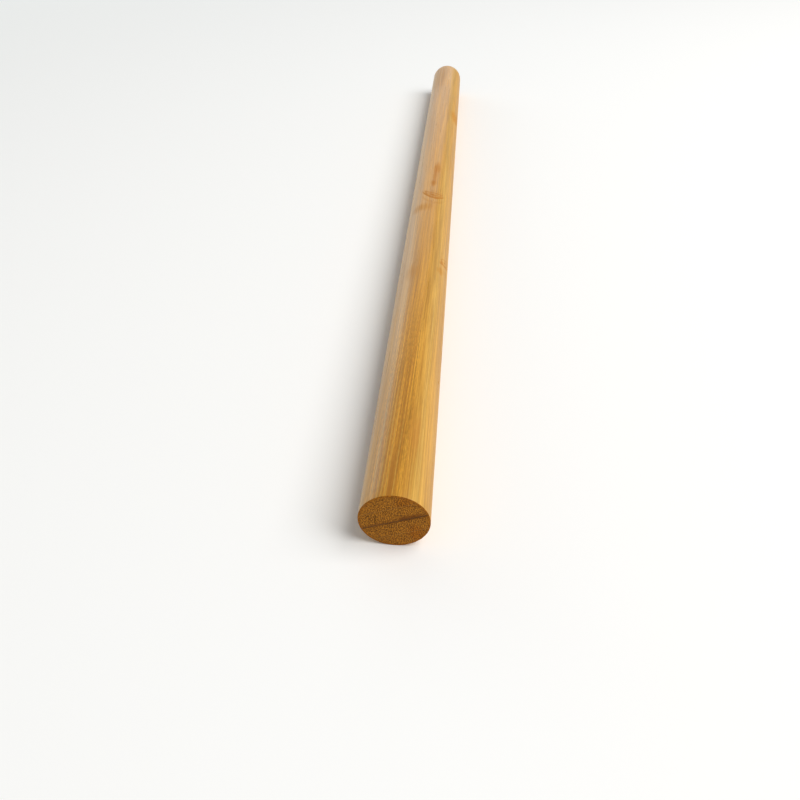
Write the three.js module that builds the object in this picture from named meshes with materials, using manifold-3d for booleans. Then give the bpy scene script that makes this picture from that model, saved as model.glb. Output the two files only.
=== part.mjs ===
// A straight, solid round rod of laminated bamboo: four flat strips glued face to face, turned round
// and sawn off square at both ends. Millimetres, +Z up. The rod lies along Y, with its near end
// towards -Y, and the origin is under its middle, on the surface that it rests on.

import * as THREE from "three";
import { mergeVertices } from "three/addons/utils/BufferGeometryUtils.js";
import Module from "manifold-3d";

const wasm = await Module();
wasm.setup();

// Driving dimensions, in millimetres
const DIAMETER = 25;
const LENGTH = 550;
const STRIP_PITCH = 6.25; // from the middle of one glue line to the middle of the next
const GLUE_THICKNESS = 0.25;
const MIDDLE_GLUE_OFFSET = -0.25; // from the rod's axis, square to the strips
const FIT_GAP = 0.02; // between a strip and its glue, on each side
const EDGE_EASE = 0.45; // radius of the rubbed rim round each sawn end
const REST_FLAT_WIDTH = 3; // the narrow flat along the underside, which keeps the rod from rolling

// The strips rise towards +X by this angle, as seen from the near end
const STRIP_TILT = THREE.MathUtils.degToRad(21.5);

// How finely the round surfaces are divided
const ROUND_SIDES = 96;
const EASE_STEPS = 4;

// Worked out from the dimensions above
const RADIUS = DIAMETER / 2;
const AXIS_HEIGHT = Math.sqrt(RADIUS ** 2 - (REST_FLAT_WIDTH / 2) ** 2);
const OVERSIZE = 2 * DIAMETER; // reach of a cutting block past the rod
const LOWER_GLUE_OFFSET = MIDDLE_GLUE_OFFSET - STRIP_PITCH;
const UPPER_GLUE_OFFSET = MIDDLE_GLUE_OFFSET + STRIP_PITCH;

// Turns a closed geometry into a solid that can be cut.
function solidFrom(geometry) {
  geometry.deleteAttribute("normal");
  geometry.deleteAttribute("uv");
  const merged = mergeVertices(geometry);
  const mesh = new wasm.Mesh({
    numProp: 3,
    vertProperties: merged.attributes.position.array,
    triVerts: new Uint32Array(merged.index.array),
  });
  return new wasm.Manifold(mesh);
}

// Turns a cut solid back into a geometry that a mesh can show.
function geometryFrom(solid) {
  const { vertProperties, triVerts } = solid.getMesh();
  const geometry = new THREE.BufferGeometry();
  geometry.setAttribute("position", new THREE.BufferAttribute(new Float32Array(vertProperties), 3));
  geometry.setIndex(new THREE.BufferAttribute(new Uint32Array(triVerts), 1));
  const flat = geometry.toNonIndexed();
  flat.computeVertexNormals();
  return flat;
}

// Half of the turned profile, from the axis at the near end to the axis at the far end.
function turnedProfile() {
  const profile = new THREE.Path();
  const end = LENGTH / 2;
  const shoulder = RADIUS - EDGE_EASE;
  profile.moveTo(0, -end);
  profile.lineTo(shoulder, -end);
  profile.absarc(shoulder, -end + EDGE_EASE, EDGE_EASE, -Math.PI / 2, 0, false);
  profile.lineTo(RADIUS, end - EDGE_EASE);
  profile.absarc(shoulder, end - EDGE_EASE, EDGE_EASE, 0, Math.PI / 2, false);
  profile.lineTo(0, end);
  return profile.getPoints(EASE_STEPS);
}

// A block that takes away all that lies below the rest flat.
function underside() {
  const block = new THREE.BoxGeometry(OVERSIZE, 2 * LENGTH, OVERSIZE);
  block.translate(0, 0, -AXIS_HEIGHT - OVERSIZE / 2);
  return solidFrom(block);
}

// The round rod before it is divided into strips, with its axis on Y.
function turnedBlank() {
  const round = new THREE.LatheGeometry(turnedProfile(), ROUND_SIDES);
  return solidFrom(round).subtract(underside());
}

// A tilted slab between two offsets from the axis, wide and long enough to span the rod.
function slab(low, high) {
  const block = new THREE.BoxGeometry(OVERSIZE, 2 * LENGTH, high - low);
  block.translate(0, 0, (low + high) / 2);
  block.rotateY(-STRIP_TILT);
  return solidFrom(block);
}

// Strips are pale straw to amber, with a satin finish.
function strip_material(colour) {
  return new THREE.MeshStandardMaterial({ color: colour, roughness: 0.48, metalness: 0 });
}

// Hardened glue is dark brown, and a little glossier than the bamboo.
function glue_material() {
  return new THREE.MeshStandardMaterial({ color: 0x4a2f16, roughness: 0.4, metalness: 0 });
}

const blank = turnedBlank();

// The part of the rod between two offsets, as one named piece.
function pieceBetween(name, low, high, material) {
  const piece = new THREE.Mesh(geometryFrom(blank.intersect(slab(low, high))), material);
  piece.name = name;
  return piece;
}

// A bamboo strip, held clear of the glue on the faces that it has glue on.
function strip(name, lowGlue, highGlue, colour) {
  const margin = GLUE_THICKNESS / 2 + FIT_GAP;
  return pieceBetween(name, lowGlue + margin, highGlue - margin, strip_material(colour));
}

// The thin layer of glue round one offset.
function glueLine(name, offset) {
  const half = GLUE_THICKNESS / 2;
  return pieceBetween(name, offset - half, offset + half, glue_material());
}

const rod = new THREE.Group();
rod.position.z = AXIS_HEIGHT;
rod.add(strip("top_strip", UPPER_GLUE_OFFSET, OVERSIZE / 2, 0xcf9a5b));
rod.add(glueLine("upper_glue_line", UPPER_GLUE_OFFSET));
rod.add(strip("upper_strip", MIDDLE_GLUE_OFFSET, UPPER_GLUE_OFFSET, 0xdbae6c));
rod.add(glueLine("middle_glue_line", MIDDLE_GLUE_OFFSET));
rod.add(strip("lower_strip", LOWER_GLUE_OFFSET, MIDDLE_GLUE_OFFSET, 0xc89256));
rod.add(glueLine("lower_glue_line", LOWER_GLUE_OFFSET));
rod.add(strip("bottom_strip", -OVERSIZE / 2, LOWER_GLUE_OFFSET, 0xd4a465));

const part = new THREE.Group();
part.add(rod);

export default part;
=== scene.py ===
"""A laminated bamboo rod: four glued strips, turned round, sanded to a satin finish and sawn off square.

Lengths are metres in the mesh code and millimetres in the bamboo's pattern, which is worked out in the rod's
own terms: how far along from the near end, how many degrees round from the top, and how deep in its strip.
"""

import math

import bpy
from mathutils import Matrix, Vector


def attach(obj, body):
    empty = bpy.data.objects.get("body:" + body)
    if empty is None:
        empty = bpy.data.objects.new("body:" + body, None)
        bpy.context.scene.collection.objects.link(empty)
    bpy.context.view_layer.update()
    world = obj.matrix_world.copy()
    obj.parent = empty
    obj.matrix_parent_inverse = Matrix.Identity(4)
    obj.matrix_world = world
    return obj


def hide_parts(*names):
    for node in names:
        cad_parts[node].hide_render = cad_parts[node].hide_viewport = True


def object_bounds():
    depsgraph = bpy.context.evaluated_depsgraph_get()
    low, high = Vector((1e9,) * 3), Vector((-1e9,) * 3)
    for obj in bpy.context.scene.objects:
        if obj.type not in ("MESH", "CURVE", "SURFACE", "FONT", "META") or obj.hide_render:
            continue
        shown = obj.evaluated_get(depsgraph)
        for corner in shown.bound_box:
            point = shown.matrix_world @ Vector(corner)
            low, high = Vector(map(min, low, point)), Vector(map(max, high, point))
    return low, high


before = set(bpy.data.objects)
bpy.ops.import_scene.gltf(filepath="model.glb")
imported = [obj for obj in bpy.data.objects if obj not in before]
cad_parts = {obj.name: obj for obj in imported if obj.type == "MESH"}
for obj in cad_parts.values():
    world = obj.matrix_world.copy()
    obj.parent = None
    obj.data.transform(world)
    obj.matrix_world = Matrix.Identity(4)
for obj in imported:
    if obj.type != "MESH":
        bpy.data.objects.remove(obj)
CAD_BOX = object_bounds()

bl_info = {
    "name": "Laminated Bamboo Rod",
    "version": (1, 0, 0),
    "blender": (4, 5, 0),
    "location": "View3D > Sidebar > Bamboo",
    "description": (
        "Models a turned rod of laminated bamboo strips with its glue lines, growth nodes and sawn ends"),
    "category": "Add Mesh",
}

MM = 0.001
ROOT = "root"
CUT_THRESHOLD = 0.001 * MM  # how near a cut a point counts as lying on it

# The rod's own sizes, taken from the frame
LOW, HIGH = Vector(CAD_BOX[0]), Vector(CAD_BOX[1])
RADIUS = (HIGH.x - LOW.x) / 2
LENGTH = HIGH.y - LOW.y
AXIS_Z = HIGH.z - RADIUS
NEAR_Y = LOW.y
FAR_Y = HIGH.y

STRIPS = ("bottom_strip", "lower_strip", "upper_strip", "top_strip")
GLUES = ("lower_glue_line", "middle_glue_line", "upper_glue_line")

# How the meshes are finished
RIM_SEGMENTS = 5
SMOOTH_ANGLE = math.radians(32)
END_FACING = 0.2  # how far along the rod a sawn end's normal points at least, the eased rim's too

# The flaws of this rod, in millimetres right of the axis, above it and along from the near end
CRACK_RIGHT, CRACK_UP = -6.45, 0.3
CRACK_HALF_SIZES = (0.12, 1.6, 2.5)  # to the right, along and up
CRACK_TURN = math.radians(3.5)
VOID_RIGHT, VOID_UP = 4.05, 1.30
VOID_HALF_SIZES = (1.15, 0.7, 0.22)
CHIP_ROUND = math.radians(71.0)  # from the top towards the right
CHIP_ALONG = 73.0
CHIP_HALF_SIZES = (0.35, 1.5, 0.22)

# How the grain lies, in millimetres, and in degrees round the rod
PATTERN_SHIFT = 37.0  # between the patterns of neighbouring strips, in fibre cells
ASKEW_END = 150.0  # how far along the top strip's grain has settled
ASKEW_TURN = 0.11  # how many degrees round it runs in each millimetre
ASKEW_FADE = (28.0, 2.0)  # where it lies straight, and where it is fully askew
ASKEW_ACROSS = 0.022  # how far across its strip it runs in each millimetre
SWAY_WIDTH, SWAY_LENGTH = 9.0, 80.0  # the size of the fibres' slow waves
SWAY_ACROSS, SWAY_DEEP = 1.4, 0.8  # how far the waves move them
RING_LEAN = math.radians(18.0)  # the outer strips' growth rings lean a little less than the strips
PALE_OUT = 6.9  # how far out from the axis the outer strips are palest

# Stretches of the surface, as from, to and softness in degrees round, and as where they have ended and where
# they are full in millimetres along
COARSE_ROUND = (-44.0, 8.0, 12.0)
COARSE_ALONG = (170.0, 70.0)
STREAK_ROUND = (-12.0, -5.0, 1.8)
STREAK_ALONG = (44.0, 6.0)
WORN_ROUND = (52.0, 100.0, 26.0)

# How deep the relief of each surface is, in millimetres
SANDED_RELIEF = 0.007
SAWN_RELIEF = 0.10
GLUE_RELIEF = 0.03
FLOOR_RELIEF = 0.01

# Deeper coloured patches on the near end: right, up, and half their width and height, in millimetres
LOW_PATCH = (7.6, -4.8, 3.0, 4.2)
TOP_PATCH = (3.2, 9.3, 3.4, 2.4)

# The stage, in metres and watts
FLOOR_SIZE = 12
FLOOR_GAP = 0.01 * MM
SKY_COLOUR = (0.94, 0.97, 1.0, 1.0)
SENSOR_WIDTH = 36  # in millimetres
KEY_PLACE = (1.51, -0.39, 2.08)
KEY_SIZE = (2.1, 2.1)
KEY_COLOUR = (1.0, 0.98, 0.94)
# The other soft lights: name, place, width and height, power and colour
PANELS = (
    ("left_panel", (-1.65, 1.43, 0.45), (1.8, 0.9), 9.6, (0.90, 1.0, 0.95)),
    ("back_panel", (-0.35, 2.4, 0.72), (1.7, 1.3), 5.8, (0.95, 1.0, 1.0)),
    ("right_panel", (1.7, 1.5, 0.5), (1.8, 0.9), 0.7, (1.0, 0.96, 0.88)),
)


class RodSizes(bpy.types.PropertyGroup):
    """The sizes of the laminated rod that its maker would change."""

    strip_pitch: bpy.props.FloatProperty(
        name="Strip Pitch", description="From the middle of one glue line to the next",
        default=6.25 * MM, unit="LENGTH")
    middle_offset: bpy.props.FloatProperty(
        name="Middle Glue Offset",
        description="From the rod's axis to the middle glue line, square to the strips",
        default=-0.25 * MM, unit="LENGTH")
    tilt: bpy.props.FloatProperty(
        name="Strip Tilt", description="How far the strips rise to the right, seen from the near end",
        default=math.radians(21.5), subtype="ANGLE")
    glue_thickness: bpy.props.FloatProperty(
        name="Glue Thickness", description="Thickness of each layer of hardened glue",
        default=0.16 * MM, unit="LENGTH")
    glue_sunk: bpy.props.FloatProperty(
        name="Glue Sunk", description="How far the glue lies below the sanded surface",
        default=0.03 * MM, unit="LENGTH")
    rim_ease: bpy.props.FloatProperty(
        name="Rim Ease", description="Radius of the rubbed rim round each sawn end",
        default=0.22 * MM, unit="LENGTH")
    sides: bpy.props.IntProperty(
        name="Sides", description="How many faces go round the rod", default=240, min=24)
    steps: bpy.props.IntProperty(
        name="Steps", description="How many cuts divide the rod along its length",
        default=100, min=10, max=100)


class RodFinish(bpy.types.PropertyGroup):
    """The colours and gloss of the bamboo and its glue."""

    pale: bpy.props.FloatVectorProperty(
        name="Pale Bamboo", description="The soft ground tissue near the culm's inside",
        default=(0.578, 0.338, 0.067), subtype="COLOR", size=3)
    amber: bpy.props.FloatVectorProperty(
        name="Amber Bamboo", description="The dense tissue near the culm's skin",
        default=(0.556, 0.262, 0.021), subtype="COLOR", size=3)
    fibre: bpy.props.FloatVectorProperty(
        name="Fibre", description="The dark fibre bundles",
        default=(0.37, 0.138, 0.004), subtype="COLOR", size=3)
    node_brown: bpy.props.FloatVectorProperty(
        name="Node Brown", description="The orange brown of growth nodes and knots",
        default=(0.44, 0.140, 0.004), subtype="COLOR", size=3)
    rust: bpy.props.FloatVectorProperty(
        name="Rust", description="The orange brown of small stained patches",
        default=(0.50, 0.185, 0.005), subtype="COLOR", size=3)
    end_grain: bpy.props.FloatVectorProperty(
        name="End Grain", description="The sawn ends, where the finish soaks in",
        default=(0.35, 0.135, 0.013), subtype="COLOR", size=3)
    end_orange: bpy.props.FloatVectorProperty(
        name="End Grain Orange", description="Patches and the rim of the sawn ends, more deeply coloured",
        default=(0.31, 0.095, 0.004), subtype="COLOR", size=3)
    end_dark: bpy.props.FloatVectorProperty(
        name="End Grain Fibre", description="The fibre bundles cut across at the sawn ends",
        default=(0.17, 0.052, 0.005), subtype="COLOR", size=3)
    glue: bpy.props.FloatVectorProperty(
        name="Glue", description="Hardened brown glue",
        default=(0.10, 0.035, 0.006), subtype="COLOR", size=3)
    roughness: bpy.props.FloatProperty(
        name="Roughness", description="Roughness of the sanded bamboo",
        default=0.29, min=0, max=1, subtype="FACTOR")


class StageLook(bpy.types.PropertyGroup):
    """The floor, the lights and the camera."""

    lens: bpy.props.FloatProperty(
        name="Lens", description="Focal length on a 36 mm sensor", default=31.354, min=1)
    pitch: bpy.props.FloatProperty(
        name="Camera Pitch", description="How far the camera looks down", default=math.radians(39.039),
        subtype="ANGLE")
    heading: bpy.props.FloatProperty(
        name="Camera Heading", description="How far the camera turns to the left of the rod's direction",
        default=math.radians(4.860), subtype="ANGLE")
    place: bpy.props.FloatVectorProperty(
        name="Camera Place", description="From the axis at the near end, in rod radii",
        default=(1.230, -12.535, 14.453), size=3)
    floor: bpy.props.FloatVectorProperty(
        name="Floor", description="Colour of the plain floor",
        default=(0.93, 0.93, 0.93), subtype="COLOR", size=3)
    sky: bpy.props.FloatProperty(
        name="Sky", description="Strength of the even light from all round", default=0.31, min=0)
    key: bpy.props.FloatProperty(
        name="Key Light", description="Power of the large light above and to the right", default=71.0,
        unit="POWER", min=0)


class Wire:
    """A shader socket whose arithmetic adds Math nodes, so that patterns read as formulas."""

    def __init__(self, maker, socket):
        self.maker = maker
        self.socket = socket

    def math(self, operation, *values):
        made = self.maker.node("ShaderNodeMath", {"operation": operation}, dict(enumerate(values)))
        return Wire(self.maker, made.outputs[0])

    def __add__(self, other):
        return self.math("ADD", self, other)

    def __radd__(self, other):
        return self.math("ADD", other, self)

    def __sub__(self, other):
        return self.math("SUBTRACT", self, other)

    def __rsub__(self, other):
        return self.math("SUBTRACT", other, self)

    def __mul__(self, other):
        return self.math("MULTIPLY", self, other)

    def __rmul__(self, other):
        return self.math("MULTIPLY", other, self)

    def __truediv__(self, other):
        return self.math("DIVIDE", self, other)

    def __abs__(self):
        return self.math("ABSOLUTE", self)

    def floor(self):
        return self.math("FLOOR", self)

    def square_root(self):
        return self.math("SQRT", self)

    def at_least(self, other):
        return self.math("MAXIMUM", self, other)

    def at_most(self, other):
        return self.math("MINIMUM", self, other)

    def to_and_fro(self, length):
        return self.math("PINGPONG", self, length)

    def turned_from(self, angle):
        """The angle past another one in degrees, from -180 to 180."""
        return self.math("WRAP", self - angle, 180.0, -180.0)

    def rise(self, low, high):
        """0 at low, 1 at high, and a smooth step between them. It falls where low is above high."""
        made = self.maker.node(
            "ShaderNodeMapRange", {"interpolation_type": "SMOOTHSTEP", "clamp": True},
            {"Value": self, "From Min": low, "From Max": high, "To Min": 0.0, "To Max": 1.0})
        return Wire(self.maker, made.outputs[0])

    def peak(self, middle, half):
        """1 at the middle, and a smooth fall to 0 at that distance from it."""
        return abs(self - middle).rise(half, 0.0)

    def between(self, low, high, soft):
        """1 from low to high, with soft edges outside them."""
        return self.rise(low - soft, low) * self.rise(high + soft, high)


class Maker:
    """Builds one material's node tree."""

    def __init__(self, name):
        self.material = bpy.data.materials.new(name)
        self.material.use_nodes = True
        self.tree = self.material.node_tree
        self.tree.nodes.clear()

    def node(self, kind, settings=None, values=None):
        """Adds a node, with its settings first and then the values or links of its sockets."""
        made = self.tree.nodes.new(kind)
        for key, value in (settings or {}).items():
            setattr(made, key, value)
        for key, value in (values or {}).items():
            self.fill(made.inputs[key], value)
        return made

    def fill(self, socket, value):
        if isinstance(value, Wire):
            self.tree.links.new(value.socket, socket)
        elif isinstance(value, bpy.types.NodeSocket):
            self.tree.links.new(value, socket)
        elif socket.type == "RGBA" and len(value) == 3:
            socket.default_value = (*value, 1.0)
        else:
            socket.default_value = value

    def wire(self, kind, settings=None, values=None):
        """Adds a node and wraps its first output."""
        return Wire(self, self.node(kind, settings, values).outputs[0])

    def vector(self, x, y, z):
        return self.wire("ShaderNodeCombineXYZ", None, {0: x, 1: y, 2: z})

    def noise(self, place, detail=2.0, roughness=0.5):
        """A cloud from 0 to 1, with cells of one unit."""
        return self.wire("ShaderNodeTexNoise", {"noise_dimensions": "3D"},
                         {"Vector": place, "Scale": 1.0, "Detail": detail, "Roughness": roughness})

    def spots(self, place, randomness=0.9):
        """The distance to the nearest of a field of points, about one point to a unit cube."""
        return self.wire("ShaderNodeTexVoronoi", {"voronoi_dimensions": "3D", "feature": "F1"},
                         {"Vector": place, "Scale": 1.0, "Randomness": randomness})

    def blend(self, factor, first, second, kind="MIX"):
        """The first colour where the factor is 0, and the second where it is 1."""
        made = self.node("ShaderNodeMix", {"data_type": "RGBA", "blend_type": kind, "clamp_factor": True})
        self.fill(made.inputs[0], factor)
        self.fill(made.inputs[6], first)
        self.fill(made.inputs[7], second)
        return made.outputs[2]

    def shaded(self, colour, value):
        """A colour made darker or lighter by a number."""
        grey = self.wire("ShaderNodeCombineColor", None, {0: value, 1: value, 2: value})
        return self.blend(1.0, colour, grey, "MULTIPLY")

    def surface(self, colour, roughness, height, depth, specular=0.5):
        """Ends the tree in a shader, with a relief of that depth in millimetres."""
        relief = self.node("ShaderNodeBump", None, {
            "Height": height, "Strength": 1.0, "Distance": depth * MM})
        shader = self.node("ShaderNodeBsdfPrincipled", None, {
            "Base Color": colour, "Roughness": roughness, "IOR": 1.5, "Specular IOR Level": specular,
            "Normal": relief.outputs[0]})
        out = self.node("ShaderNodeOutputMaterial")
        self.tree.links.new(shader.outputs[0], out.inputs[0])
        return self.material


class RodPlace:
    """Where a point lies in the rod: along, round, and across and deep in its strip, in mm or degrees."""

    def __init__(self, maker, sizes):
        place = maker.node("ShaderNodeTexCoord").outputs["Object"]
        parts = maker.node("ShaderNodeSeparateXYZ", None, {0: place}).outputs
        right = Wire(maker, parts[0]) / MM
        up = (Wire(maker, parts[2]) - AXIS_Z) / MM
        self.maker = maker
        self.right = right
        self.up = up
        self.along = (Wire(maker, parts[1]) - NEAR_Y) / MM
        self.round = right.math("ARCTAN2", right, up) * math.degrees(1.0)
        sine, cosine = math.sin(sizes.tilt), math.cos(sizes.tilt)
        self.across = right * cosine + up * sine
        self.offset = up * cosine - right * sine
        self.past_middle = self.offset - sizes.middle_offset / MM
        level = self.past_middle / (sizes.strip_pitch / MM)
        self.number = level.floor()
        # 1 on the dense faces, which meet at the middle glue line, and 0 on the pale faces, which meet at the
        # glue lines above and below it
        self.density = 1.0 - level.to_and_fro(1.0)
        self.level_out = abs(level)  # how many strips out from the middle glue line
        # Each strip's pattern starts elsewhere, so no fibre runs on across the glue
        self.shift = self.number * PATTERN_SHIFT
        # The grain of the top strip, number 1, runs a little askew and settles farther on
        self.askew = self.along.at_most(ASKEW_END) * self.number.rise(0.2, 0.8)
        self.grain_round = self.round - self.askew * ASKEW_TURN * self.round.rise(*ASKEW_FADE)

    def fibres(self, cell, length):
        """The place measured in fibre cells of that width and length, wavering a little along the rod."""
        maker = self.maker
        sway = maker.noise(maker.vector(
            self.across / SWAY_WIDTH + self.shift, self.along / SWAY_LENGTH, self.offset / SWAY_WIDTH), 1.0)
        across = self.across - self.askew * ASKEW_ACROSS + (sway - 0.5) * SWAY_ACROSS
        return maker.vector(
            across / cell + self.shift, self.along / length + self.shift,
            (self.offset + sway * SWAY_DEEP) / cell)

    def cloud(self, angle, width, length, seed, detail=2.0, roughness=0.5):
        """A cloud over the rod's surface, with cells that many degrees wide and millimetres long."""
        maker = self.maker
        return maker.noise(maker.vector(angle / width, self.along / length, seed), detail, roughness)


class FibreLine:
    """A straight line drawn by a single fibre bundle on the top of the rod."""

    softness = 1.35  # how far its soft edges reach, in halves of its width
    fade = 0.4  # where it starts to die out, as a share of its length

    def __init__(self, angle, half, end, strength):
        self.angle = angle  # degrees round at the near end
        self.half = half  # half its width, in degrees
        self.end = end  # how far along it has died out, in millimetres
        self.strength = strength


DARK_LINES = (
    FibreLine(-43.0, 1.3, 90.0, 0.35),
    FibreLine(-34.6, 2.0, 170.0, 0.70),
    FibreLine(-30.0, 1.2, 120.0, 0.55),
    FibreLine(-24.0, 1.7, 160.0, 0.80),
    FibreLine(-18.6, 1.8, 140.0, 0.75),
    FibreLine(-11.2, 2.0, 130.0, 0.90),
    FibreLine(-6.2, 2.0, 150.0, 0.95),
    FibreLine(-0.6, 1.6, 170.0, 0.75),
    FibreLine(3.6, 1.2, 90.0, 0.40),
    FibreLine(8.4, 1.2, 60.0, 0.45),
    FibreLine(12.6, 1.5, 62.0, 0.65),
    FibreLine(17.4, 1.4, 55.0, 0.60),
    FibreLine(20.5, 1.4, 210.0, 0.50),
    FibreLine(27.0, 1.0, 70.0, 0.30),
    FibreLine(34.0, 1.2, 150.0, 0.25),
)
PALE_LINES = (
    FibreLine(-38.5, 1.6, 90.0, 0.35),
    FibreLine(-27.2, 1.6, 90.0, 0.45),
    FibreLine(-21.2, 1.5, 80.0, 0.45),
    FibreLine(-15.0, 1.6, 80.0, 0.40),
    FibreLine(-3.2, 1.5, 60.0, 0.45),
    FibreLine(22.4, 1.4, 26.0, 0.60),
    FibreLine(28.6, 1.6, 30.0, 0.60),
    FibreLine(32.8, 1.4, 26.0, 0.50),
    FibreLine(38.0, 1.5, 60.0, 0.30),
)


def drawn_lines(place, lines):
    """Thin lines along the grain that waver, break up and die out away from the near end."""
    sway = (place.cloud(place.round, 30.0, 60.0, 4.0) - 0.5) * 2.0
    broken = place.cloud(place.grain_round, 3.2, 2.4, 9.0, 1.0).rise(0.40, 0.60)
    angle = place.grain_round + sway
    total = None
    for line in lines:
        drawn = angle.peak(line.angle, line.half * line.softness)
        drawn = drawn * place.along.rise(line.end, line.end * line.fade) * line.strength
        total = drawn if total is None else total.at_least(drawn)
    return total * (broken * 0.40 + 0.60)


class Stain:
    """A knot or an uneven stained patch on the sanded surface."""

    def __init__(self, colour, strength, along, angle, half_along, half_round, edge):
        self.colour = colour  # the name of one of the finish's colours
        self.strength = strength
        self.along = along  # of its middle, in millimetres
        self.angle = angle  # of its middle, in degrees round
        self.half_along = half_along  # half its length, in millimetres
        self.half_round = half_round  # half its width, in degrees
        self.edge = edge  # how soft its edge is, in halves of its size


STAINS = (
    Stain("node_brown", 0.65, 290.0, 8.0, 9.0, 8.0, 0.75),
    Stain("node_brown", 0.60, 266.0, 3.0, 4.0, 8.0, 0.8),
    Stain("node_brown", 0.45, 277.0, 5.5, 9.0, 6.0, 0.8),
    Stain("rust", 0.52, 230.5, -22.0, 4.5, 24.0, 0.8),
    Stain("rust", 0.32, 153.0, -21.0, 6.0, 12.0, 1.0),
    Stain("rust", 0.45, 160.0, 46.0, 3.2, 9.0, 0.6),
    Stain("node_brown", 0.50, 170.0, 50.0, 1.8, 4.5, 0.6),
    Stain("rust", 0.55, 413.0, 56.0, 11.0, 22.0, 0.6),
    Stain("fibre", 0.22, 515.0, -28.0, 32.0, 30.0, 0.6),
    Stain("rust", 0.35, 33.0, 24.0, 10.0, 9.0, 0.8),
)


def blotch(place, fray, stain):
    """Where a stain lies: 1 inside, with a frayed edge."""
    far_along = (place.along - stain.along) / stain.half_along
    far_round = place.round.turned_from(stain.angle) / stain.half_round
    far = (far_along * far_along + far_round * far_round).square_root()
    return (far + fray * 1.1).rise(1.0 + stain.edge, 1.0 - stain.edge)


class GrowthNode:
    """Where a growth node of the living bamboo crosses a strip: a stained bowl, open towards the far end."""

    eye_up, eye_half = 3.8, 4.2  # the middle and the half height of the eye in the bowl, in millimetres

    def __init__(self, along, angle, half, rise, strength=1.0, lean=0.0):
        self.along = along  # of the lowest point of its bowl, in millimetres
        self.angle = angle  # of that point, in degrees round
        self.half = half  # half its width, in degrees
        self.rise = rise  # how much farther along its ends lie, in millimetres
        self.strength = strength
        self.lean = lean  # how much farther along its right end lies than its middle, in millimetres


GROWTH_NODES = (
    GrowthNode(243.0, 5.0, 33.0, 8.5, 0.9, -2.6),
    GrowthNode(169.0, 60.0, 20.0, 0.8, 0.5, 2.0),
    GrowthNode(411.0, 56.0, 24.0, 6.0, 0.25),
    GrowthNode(487.0, -12.0, 36.0, 8.0, 0.12),
    GrowthNode(92.0, 94.0, 16.0, 4.0, 0.8),
    GrowthNode(336.0, 96.0, 17.0, 4.0, 0.9),
    GrowthNode(121.0, -104.0, 20.0, 5.0, 0.8),
    GrowthNode(365.0, -101.0, 20.0, 5.0, 0.9),
    GrowthNode(201.0, -168.0, 30.0, 9.0),
    GrowthNode(447.0, 172.0, 31.0, 9.0),
)


def node_marks(place, wobble, layers, node):
    """The stain and the pale edge of one growth node."""
    side = place.round.turned_from(node.angle) / node.half
    reach = abs(side).rise(1.12, 0.72)
    # How far past the edge of the bowl a point lies, in millimetres: the bands are measured from there
    height = place.along - node.along - side * side * node.rise - side * node.lean + wobble
    inside = (node.along + node.rise * 1.15 - place.along).rise(-2.5, 3.0) * height.rise(-0.2, 1.6)
    edge = height.between(-0.2, 0.9, 1.1) * reach
    outer = height.between(-7.2, -5.6, 1.6) * reach
    up_eye = (height - node.eye_up) / node.eye_half
    curl = (side * side + up_eye * up_eye).square_root()
    eye = curl.rise(0.36, 0.06).at_least(curl.peak(0.68, 0.22) * 0.7)
    stain = (edge * 0.9).at_least(inside * reach * (layers * 0.50 + 0.10)).at_least(eye).at_least(outer * 0.2)
    pale_edge = height.between(-3.6, -1.6, 1.4) * reach
    return stain * node.strength, pale_edge * node.strength


def strip_tone(place, finish):
    """The bamboo's ground colour, pale on the inner face of each strip and amber towards its skin."""
    maker = place.maker
    drift = maker.noise(place.fibres(3.0, 120.0), 2.0)
    # The outer strips turn from pale to amber as they go out to the surface, and the inner ones only a little
    out = abs(place.up * math.cos(RING_LEAN) - place.right * math.sin(RING_LEAN))
    outer = (out - PALE_OUT) / (RADIUS / MM - PALE_OUT)
    is_outer = place.level_out.rise(0.98, 1.02)
    ring = place.density * 0.22 + 0.28
    ring = ring + (outer - ring) * is_outer
    return maker.blend((ring + (drift - 0.5) * 0.5).rise(-0.10, 0.98), finish.pale, finish.amber)


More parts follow.
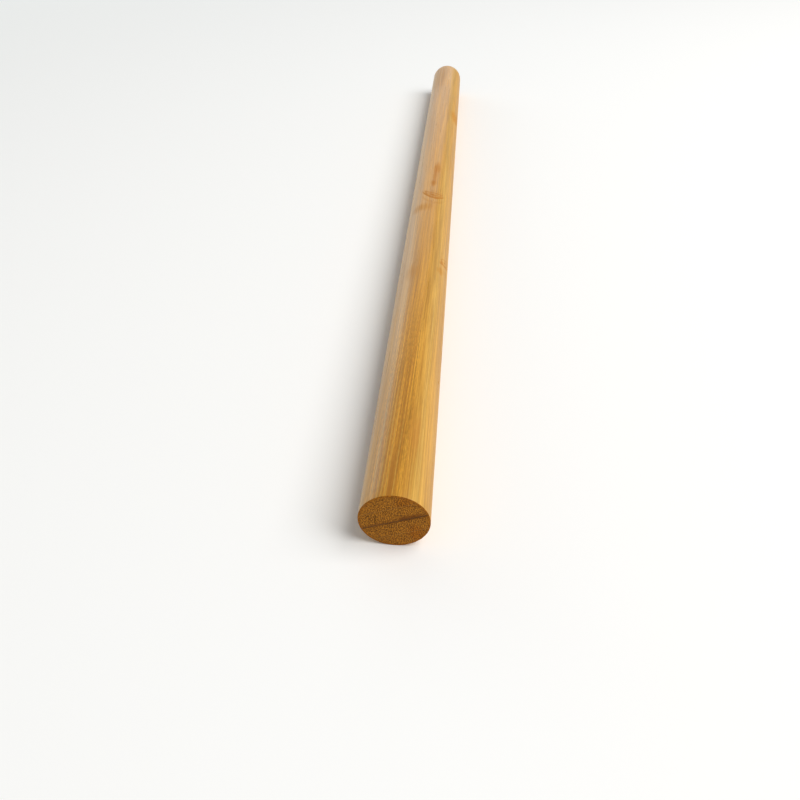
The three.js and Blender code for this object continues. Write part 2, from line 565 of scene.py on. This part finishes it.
def sanded_bamboo(sizes, finish):
    """The turned surface: fibre streaks and dashes, growth nodes, knots and stains under a satin finish."""
    maker = Maker("sanded_bamboo")
    place = RodPlace(maker, sizes)
    colour = strip_tone(place, finish)
    bundle = maker.noise(place.fibres(0.9, 110.0), 2.0, 0.6).rise(0.34, 0.66)
    fine = maker.noise(place.fibres(0.55, 60.0), 2.0, 0.65).rise(0.30, 0.70)
    broad = maker.noise(place.fibres(2.4, 80.0), 2.0).rise(0.34, 0.66)
    dash = maker.noise(place.fibres(0.55, 3.4), 1.0).rise(0.38, 0.62)

    # The fibres show most where the top strip's skin comes near the surface, close to the near end
    coarse = place.grain_round.between(*COARSE_ROUND) * place.along.rise(*COARSE_ALONG)
    column = place.cloud(place.grain_round, 3.4, 90.0, 3.0, 2.0, 0.6).rise(0.38, 0.62)
    beads = place.cloud(place.grain_round, 2.2, 2.8, 7.0, 1.0).rise(0.40, 0.60)
    dense = place.density * 0.4 + 0.35
    colour = maker.blend(bundle * dense * 0.40 + (1.0 - fine) * 0.24, colour, finish.fibre)
    colour = maker.shaded(colour, 0.86 + fine * 0.26 + broad * 0.14)
    uneven = 1.0 + (dash - 0.5) * 0.06
    uneven = uneven + ((column - 0.5) * 0.34 + (beads - 0.5) * 0.22) * coarse
    colour = maker.shaded(colour, uneven)

    # The dark streak at the near end, the lines of single bundles, and the pale lines between them
    ragged = place.cloud(place.grain_round, 1.6, 50.0, 2.0, 3.0).rise(0.22, 0.55)
    streak = place.grain_round.between(*STREAK_ROUND) * place.along.rise(*STREAK_ALONG)
    streak = streak * (ragged * 0.5 + 0.5)
    dark = (streak * 0.95).at_least(drawn_lines(place, DARK_LINES))
    colour = maker.blend(drawn_lines(place, PALE_LINES), colour, finish.pale)
    colour = maker.blend(dark, colour, finish.fibre)

    # Growth nodes and stains, whose marks also dull the finish
    wobble = (place.cloud(place.round, 11.0, 9.0, 6.0) - 0.5) * 2.2
    layers = place.cloud(place.round, 13.0, 1.5, 8.0, 3.0, 0.6).rise(0.36, 0.66)
    fray = place.cloud(place.round, 4.0, 7.0, 1.0, 3.0) - 0.5
    marks = dark * 0.3
    streaky = bundle * 0.5 + 0.6
    for node in GROWTH_NODES:
        stain, pale_edge = node_marks(place, wobble, layers, node)
        colour = maker.blend(pale_edge * 0.12, colour, finish.pale)
        colour = maker.blend(stain * 0.85, colour, finish.node_brown)
        marks = marks.at_least(stain)
    for patch in STAINS:
        mask = blotch(place, fray, patch) * streaky * patch.strength
        colour = maker.blend(mask, colour, getattr(finish, patch.colour))
        marks = marks.at_least(mask)

    # The dense skins on both sides of the middle glue line
    skin = abs(place.past_middle).rise(1.1, 0.1)
    colour = maker.blend(skin * 0.15, colour, finish.fibre)

    # Nodes and stains take the finish less well, and the right side has worn dull
    worn = place.round.between(*WORN_ROUND)
    roughness = finish.roughness + (fine - 0.5) * 0.06 + bundle * 0.04 + marks * 0.45 + worn * 0.15
    return maker.surface(colour, roughness, fine * 0.4 - bundle * 0.3, SANDED_RELIEF)


def face_patch(place, right, up, half_right, half_up):
    """A soft uneven patch on a sawn end: 1 inside."""
    maker = place.maker
    fray = maker.noise(maker.vector(place.right / 1.6, place.along, place.up / 2.6), 3.0) - 0.5
    far_right = (place.right - right) / half_right
    far_up = (place.up - up) / half_up
    return ((far_right * far_right + far_up * far_up).square_root() + fray * 1.2).rise(1.3, 0.5)


def sawn_bamboo(sizes, finish):
    """The sawn ends: fibre bundles cut across as specks, with faint saw marks and a dark middle seam."""
    maker = Maker("sawn_bamboo")
    place = RodPlace(maker, sizes)
    cloud = maker.noise(maker.vector(place.right / 3.2, place.along / 90.0, place.up / 3.2), 2.0)
    speck = maker.noise(maker.vector(place.right / 0.34, place.along, place.up / 0.70), 1.0)
    speck = speck.rise(0.38, 0.62)
    bundle = maker.spots(maker.vector(place.across / 0.72, place.along / 46.0, place.offset / 0.80))
    bundle = bundle.rise(0.50, 0.18)
    saw = maker.noise(maker.vector(place.right / 0.45, place.along, place.up / 9.0), 2.0)

    patch = face_patch(place, *LOW_PATCH).at_least(face_patch(place, *TOP_PATCH) * 0.8)
    colour = maker.blend(patch * 0.7, finish.end_grain, finish.end_orange)
    colour = maker.blend(bundle * (0.25 + place.density * 0.25), colour, finish.end_dark)
    colour = maker.shaded(colour, 0.38 + speck * 1.02 + saw * 0.20 + (0.5 - cloud) * 0.6)

    # The middle seam: a thin dark line in a softer dark zone, wider above it than below
    line = abs(place.past_middle).rise(0.42, 0.12)
    zone = place.past_middle.between(-0.1, 0.6, 1.2)
    patchy = maker.noise(maker.vector(place.across / 2.2, place.along, place.offset), 2.0).rise(0.25, 0.65)
    shadow = place.across.between(3.0, 9.0, 2.0) * place.past_middle.between(0.0, 1.3, 1.1)
    colour = maker.blend(zone * (patchy * 0.35 + 0.08) + shadow * 0.45, colour, finish.end_dark)
    colour = maker.blend(line * (0.72 + place.across.rise(-7.0, 4.0) * 0.28), colour, finish.glue)
    pale_seam = abs(abs(place.past_middle) - sizes.strip_pitch / MM).rise(0.30, 0.08)
    colour = maker.blend(pale_seam * patchy * 0.30, colour, finish.end_dark)
    # The rim, where sanding has rubbed finish into the edge
    out = (place.right * place.right + place.up * place.up).square_root()
    colour = maker.blend(out.rise(RADIUS / MM - 1.4, RADIUS / MM - 0.2) * 0.45, colour, finish.end_orange)

    relief = speck * 0.7 + saw * 0.5 - bundle * 0.5 - line * 0.8
    return maker.surface(colour, 0.72 + speck * 0.15, relief, SAWN_RELIEF, specular=0.12)


def strip_glue(sizes, finish):
    """Hardened glue: dark between the skins at the middle, and hardly seen between the pale faces."""
    maker = Maker("strip_glue")
    place = RodPlace(maker, sizes)
    grit = maker.noise(maker.vector(place.across / 0.5, place.along / 7.0, place.offset / 0.3), 3.0)
    clear = maker.blend(0.12, finish.pale, finish.glue)
    middle = abs(place.past_middle).rise(0.9, 0.3)
    colour = maker.blend(middle, clear, maker.blend(0.45, finish.fibre, finish.glue))
    colour = maker.blend(grit.rise(0.45, 0.8) * 0.5, colour, finish.rust)
    half = LENGTH / MM / 2
    end = abs(place.along - half).rise(half - 0.5, half - 0.1)
    colour = maker.blend(end * 0.8, colour, maker.blend(middle, finish.end_grain, finish.glue))
    return maker.surface(colour, 0.42 + grit * 0.2, grit, GLUE_RELIEF, specular=0.3)


def choose(obj):
    """Makes an object the only one selected and active."""
    bpy.ops.object.select_all(action="DESELECT")
    bpy.context.view_layer.objects.active = obj
    obj.select_set(True)


def select_edges(obj, wanted):
    """Selects the edges whose two ends pass a test, in edit mode."""
    bpy.ops.object.mode_set(mode="OBJECT")
    mesh = obj.data
    for part in (mesh.vertices, mesh.edges, mesh.polygons):
        part.foreach_set("select", [False] * len(part))
    for edge in mesh.edges:
        first, second = (mesh.vertices[i].co for i in edge.vertices)
        edge.select = wanted(first, second)
    bpy.ops.object.mode_set(mode="EDIT")


def turned_blank(sizes, name, sunk=0.0):
    """The whole round rod on its axis, with eased rims and the narrow flat that it rests on."""
    bpy.ops.object.select_all(action="DESELECT")
    bpy.ops.mesh.primitive_cylinder_add(
        vertices=sizes.sides, radius=RADIUS - sunk, depth=LENGTH - 2 * sunk,
        location=(0, (NEAR_Y + FAR_Y) / 2, AXIS_Z), rotation=(math.pi / 2, 0, 0))
    rod = bpy.context.object
    rod.name = name
    bpy.ops.object.transform_apply(location=True, rotation=True, scale=True)

    def along_side(first, second):
        return abs(first.y - second.y) > LENGTH / 2

    def on_rim(first, second):
        level = abs(first.y - second.y) < CUT_THRESHOLD
        return level and min(abs(first.y - NEAR_Y - sunk), abs(first.y - FAR_Y + sunk)) < CUT_THRESHOLD

    bpy.ops.object.mode_set(mode="EDIT")
    bpy.ops.mesh.select_mode(type="EDGE")
    select_edges(rod, along_side)
    bpy.ops.mesh.subdivide(number_cuts=sizes.steps)
    select_edges(rod, on_rim)
    bpy.ops.mesh.bevel(offset=sizes.rim_ease, offset_type="OFFSET", segments=RIM_SEGMENTS, profile=0.5)
    bpy.ops.mesh.select_all(action="SELECT")
    bpy.ops.mesh.bisect(plane_co=(0, 0, LOW.z + sunk), plane_no=(0, 0, -1), use_fill=True, clear_outer=True,
                        threshold=CUT_THRESHOLD)
    bpy.ops.object.mode_set(mode="OBJECT")
    return rod


def copy_of(blank, name):
    """A copy of a blank with a mesh of its own."""
    piece = blank.copy()
    piece.data = blank.data.copy()
    piece.name = name
    piece.data.name = name
    bpy.context.scene.collection.objects.link(piece)
    return piece


def cut_to_slab(obj, sizes, low, high):
    """Keeps what lies between two offsets from the axis, square to the strips, and closes the cuts."""
    out = Vector((-math.sin(sizes.tilt), 0, math.cos(sizes.tilt)))
    axis = Vector((0, 0, AXIS_Z))
    choose(obj)
    bpy.ops.object.mode_set(mode="EDIT")
    for offset, side in ((low, -1), (high, 1)):
        if offset is None:
            continue
        bpy.ops.mesh.select_all(action="SELECT")
        bpy.ops.mesh.bisect(plane_co=axis + out * offset, plane_no=out * side, use_fill=True,
                            clear_outer=True, threshold=CUT_THRESHOLD)
    bpy.ops.object.mode_set(mode="OBJECT")


def hollow_tool(name, centre, half_sizes, turn):
    """A rounded lump that takes away a chip or opens a crack, with its half sizes in millimetres."""
    bpy.ops.object.select_all(action="DESELECT")
    bpy.ops.mesh.primitive_ico_sphere_add(subdivisions=3, radius=1.0, location=(0, 0, 0))
    tool = bpy.context.object
    tool.name = name
    tool.scale = [half * MM for half in half_sizes]
    tool.rotation_euler = turn
    tool.location = centre
    bpy.ops.object.transform_apply(location=True, rotation=True, scale=True)
    return tool


def flaw_tools(sizes):
    """What opens the drying crack and the glue void in the near end, and the chip on the middle seam."""
    crack = hollow_tool(
        "crack_tool", (CRACK_RIGHT * MM, NEAR_Y, AXIS_Z + CRACK_UP * MM), CRACK_HALF_SIZES,
        (0, CRACK_TURN, 0))
    void = hollow_tool(
        "void_tool", (VOID_RIGHT * MM, NEAR_Y, AXIS_Z + VOID_UP * MM), VOID_HALF_SIZES,
        (0, -sizes.tilt, 0))
    chip_right = RADIUS * math.sin(CHIP_ROUND)
    chip_up = AXIS_Z + RADIUS * math.cos(CHIP_ROUND)
    chip = hollow_tool(
        "chip_tool", (chip_right, NEAR_Y + CHIP_ALONG * MM, chip_up), CHIP_HALF_SIZES,
        (0, -sizes.tilt, 0))
    return crack, void, chip


def take_away(obj, tools):
    """Cuts each tool's shape out of a piece."""
    choose(obj)
    for tool in tools:
        cut = obj.modifiers.new(tool.name, "BOOLEAN")
        cut.operation = "DIFFERENCE"
        cut.solver = "EXACT"
        cut.object = tool
        bpy.ops.object.modifier_apply(modifier=cut.name)


def finish_piece(obj, node, side, end):
    """Smooths a piece, gives it its materials and hands it over in the place of its node."""
    choose(obj)
    bpy.ops.object.mode_set(mode="EDIT")
    bpy.ops.mesh.select_all(action="SELECT")
    bpy.ops.mesh.remove_doubles(threshold=CUT_THRESHOLD)
    bpy.ops.mesh.normals_make_consistent(inside=False)
    bpy.ops.object.mode_set(mode="OBJECT")
    bpy.ops.object.shade_smooth_by_angle(angle=SMOOTH_ANGLE)
    obj.data.materials.clear()
    obj.data.materials.append(side)
    obj.data.materials.append(end)
    for face in obj.data.polygons:
        at_end = abs(face.center.y) > FAR_Y - MM
        face.material_index = 1 if at_end and abs(face.normal.y) > END_FACING else 0
    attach(obj, ROOT)
    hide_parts(node)


def glue_offset(sizes, number):
    """The offset of a glue line from the axis: the middle one is number 1."""
    return sizes.middle_offset + (number - 1) * sizes.strip_pitch


class BAMBOO_OT_strips(bpy.types.Operator):
    """Model the four bamboo strips from one turned blank"""

    bl_idname = "bamboo.strips"
    bl_label = "Bamboo Strips"

    def execute(self, context):
        sizes, finish = context.scene.rod_sizes, context.scene.rod_finish
        side, end = sanded_bamboo(sizes, finish), sawn_bamboo(sizes, finish)
        crack, void, chip = flaw_tools(sizes)
        flaws = {"upper_strip": (crack, void, chip), "lower_strip": (chip,)}
        half = sizes.glue_thickness / 2
        blank = turned_blank(sizes, "strip_blank")
        for number, node in enumerate(STRIPS):
            strip = copy_of(blank, node + "_bamboo")
            low = glue_offset(sizes, number - 1) + half if number > 0 else None
            high = glue_offset(sizes, number) - half if number < len(GLUES) else None
            cut_to_slab(strip, sizes, low, high)
            take_away(strip, flaws.get(node, ()))
            finish_piece(strip, node, side, end)
        for done in (blank, crack, void, chip):
            bpy.data.objects.remove(done)
        return {"FINISHED"}


class BAMBOO_OT_glue(bpy.types.Operator):
    """Model the three thin layers of glue between the strips"""

    bl_idname = "bamboo.glue"
    bl_label = "Glue Lines"

    def execute(self, context):
        sizes, finish = context.scene.rod_sizes, context.scene.rod_finish
        glue = strip_glue(sizes, finish)
        half = sizes.glue_thickness / 2
        blank = turned_blank(sizes, "glue_blank", sizes.glue_sunk)
        for number, node in enumerate(GLUES):
            line = copy_of(blank, node + "_layer")
            middle = glue_offset(sizes, number)
            cut_to_slab(line, sizes, middle - half, middle + half)
            finish_piece(line, node, glue, glue)
        bpy.data.objects.remove(blank)
        return {"FINISHED"}


def soft_light(name, place, size, power, colour):
    """A large flat light that faces the middle of the rod."""
    light = bpy.data.lights.new(name, "AREA")
    light.shape = "RECTANGLE"
    light.size, light.size_y = size
    light.energy = power
    light.color = colour
    lamp = bpy.data.objects.new(name, light)
    bpy.context.scene.collection.objects.link(lamp)
    lamp.visible_camera = False
    lamp.location = place
    lamp.rotation_euler = (Vector((0, 0, AXIS_Z)) - Vector(place)).to_track_quat("-Z", "Y").to_euler()


class BAMBOO_OT_stage(bpy.types.Operator):
    """Set up the plain floor, the soft lights and the camera"""

    bl_idname = "bamboo.stage"
    bl_label = "Stage"

    def execute(self, context):
        look = context.scene.rod_stage
        bpy.ops.object.select_all(action="DESELECT")
        bpy.ops.mesh.primitive_plane_add(size=FLOOR_SIZE, location=(0, 0, LOW.z - FLOOR_GAP))
        floor = context.object
        floor.name = "floor"
        maker = Maker("pale_floor")
        cloud = maker.noise(maker.node("ShaderNodeTexCoord").outputs["Object"])
        floor.data.materials.append(maker.surface(look.floor, 0.9, cloud, FLOOR_RELIEF, specular=0.2))

        world = bpy.data.worlds.new("studio")
        context.scene.world = world
        world.use_nodes = True
        background = world.node_tree.nodes["Background"]
        background.inputs["Color"].default_value = SKY_COLOUR
        background.inputs["Strength"].default_value = look.sky
        soft_light("key_above_right", KEY_PLACE, KEY_SIZE, look.key, KEY_COLOUR)
        for panel in PANELS:
            soft_light(*panel)

        camera = bpy.data.objects.new("camera", bpy.data.cameras.new("camera"))
        context.scene.collection.objects.link(camera)
        camera.location = Vector((0, NEAR_Y, AXIS_Z)) + Vector(look.place) * RADIUS
        camera.rotation_euler = (math.pi / 2 - look.pitch, 0, look.heading)
        camera.data.lens = look.lens
        camera.data.sensor_width = SENSOR_WIDTH
        camera.data.clip_start = 0.01
        camera.data.clip_end = 50
        context.scene.camera = camera
        context.scene.view_settings.view_transform = "Standard"
        return {"FINISHED"}


class BAMBOO_PT_panel(bpy.types.Panel):
    """The rod's pieces and its stage"""

    bl_idname = "BAMBOO_PT_panel"
    bl_label = "Laminated Bamboo Rod"
    bl_space_type = "VIEW_3D"
    bl_region_type = "UI"
    bl_category = "Bamboo"

    def draw(self, context):
        for operator in (BAMBOO_OT_strips, BAMBOO_OT_glue, BAMBOO_OT_stage):
            self.layout.operator(operator.bl_idname)
        for group in (context.scene.rod_sizes, context.scene.rod_finish, context.scene.rod_stage):
            box = self.layout.box()
            for name in group.__annotations__:
                box.prop(group, name)


CLASSES = (RodSizes, RodFinish, StageLook, BAMBOO_OT_strips, BAMBOO_OT_glue, BAMBOO_OT_stage, BAMBOO_PT_panel)


def register():
    for one in CLASSES:
        bpy.utils.register_class(one)
    bpy.types.Scene.rod_sizes = bpy.props.PointerProperty(type=RodSizes)
    bpy.types.Scene.rod_finish = bpy.props.PointerProperty(type=RodFinish)
    bpy.types.Scene.rod_stage = bpy.props.PointerProperty(type=StageLook)


def unregister():
    del bpy.types.Scene.rod_stage
    del bpy.types.Scene.rod_finish
    del bpy.types.Scene.rod_sizes
    for one in reversed(CLASSES):
        bpy.utils.unregister_class(one)


def main():
    register()
    bpy.ops.bamboo.strips()
    bpy.ops.bamboo.glue()
    bpy.ops.bamboo.stage()


if __name__ == "__main__":
    main()
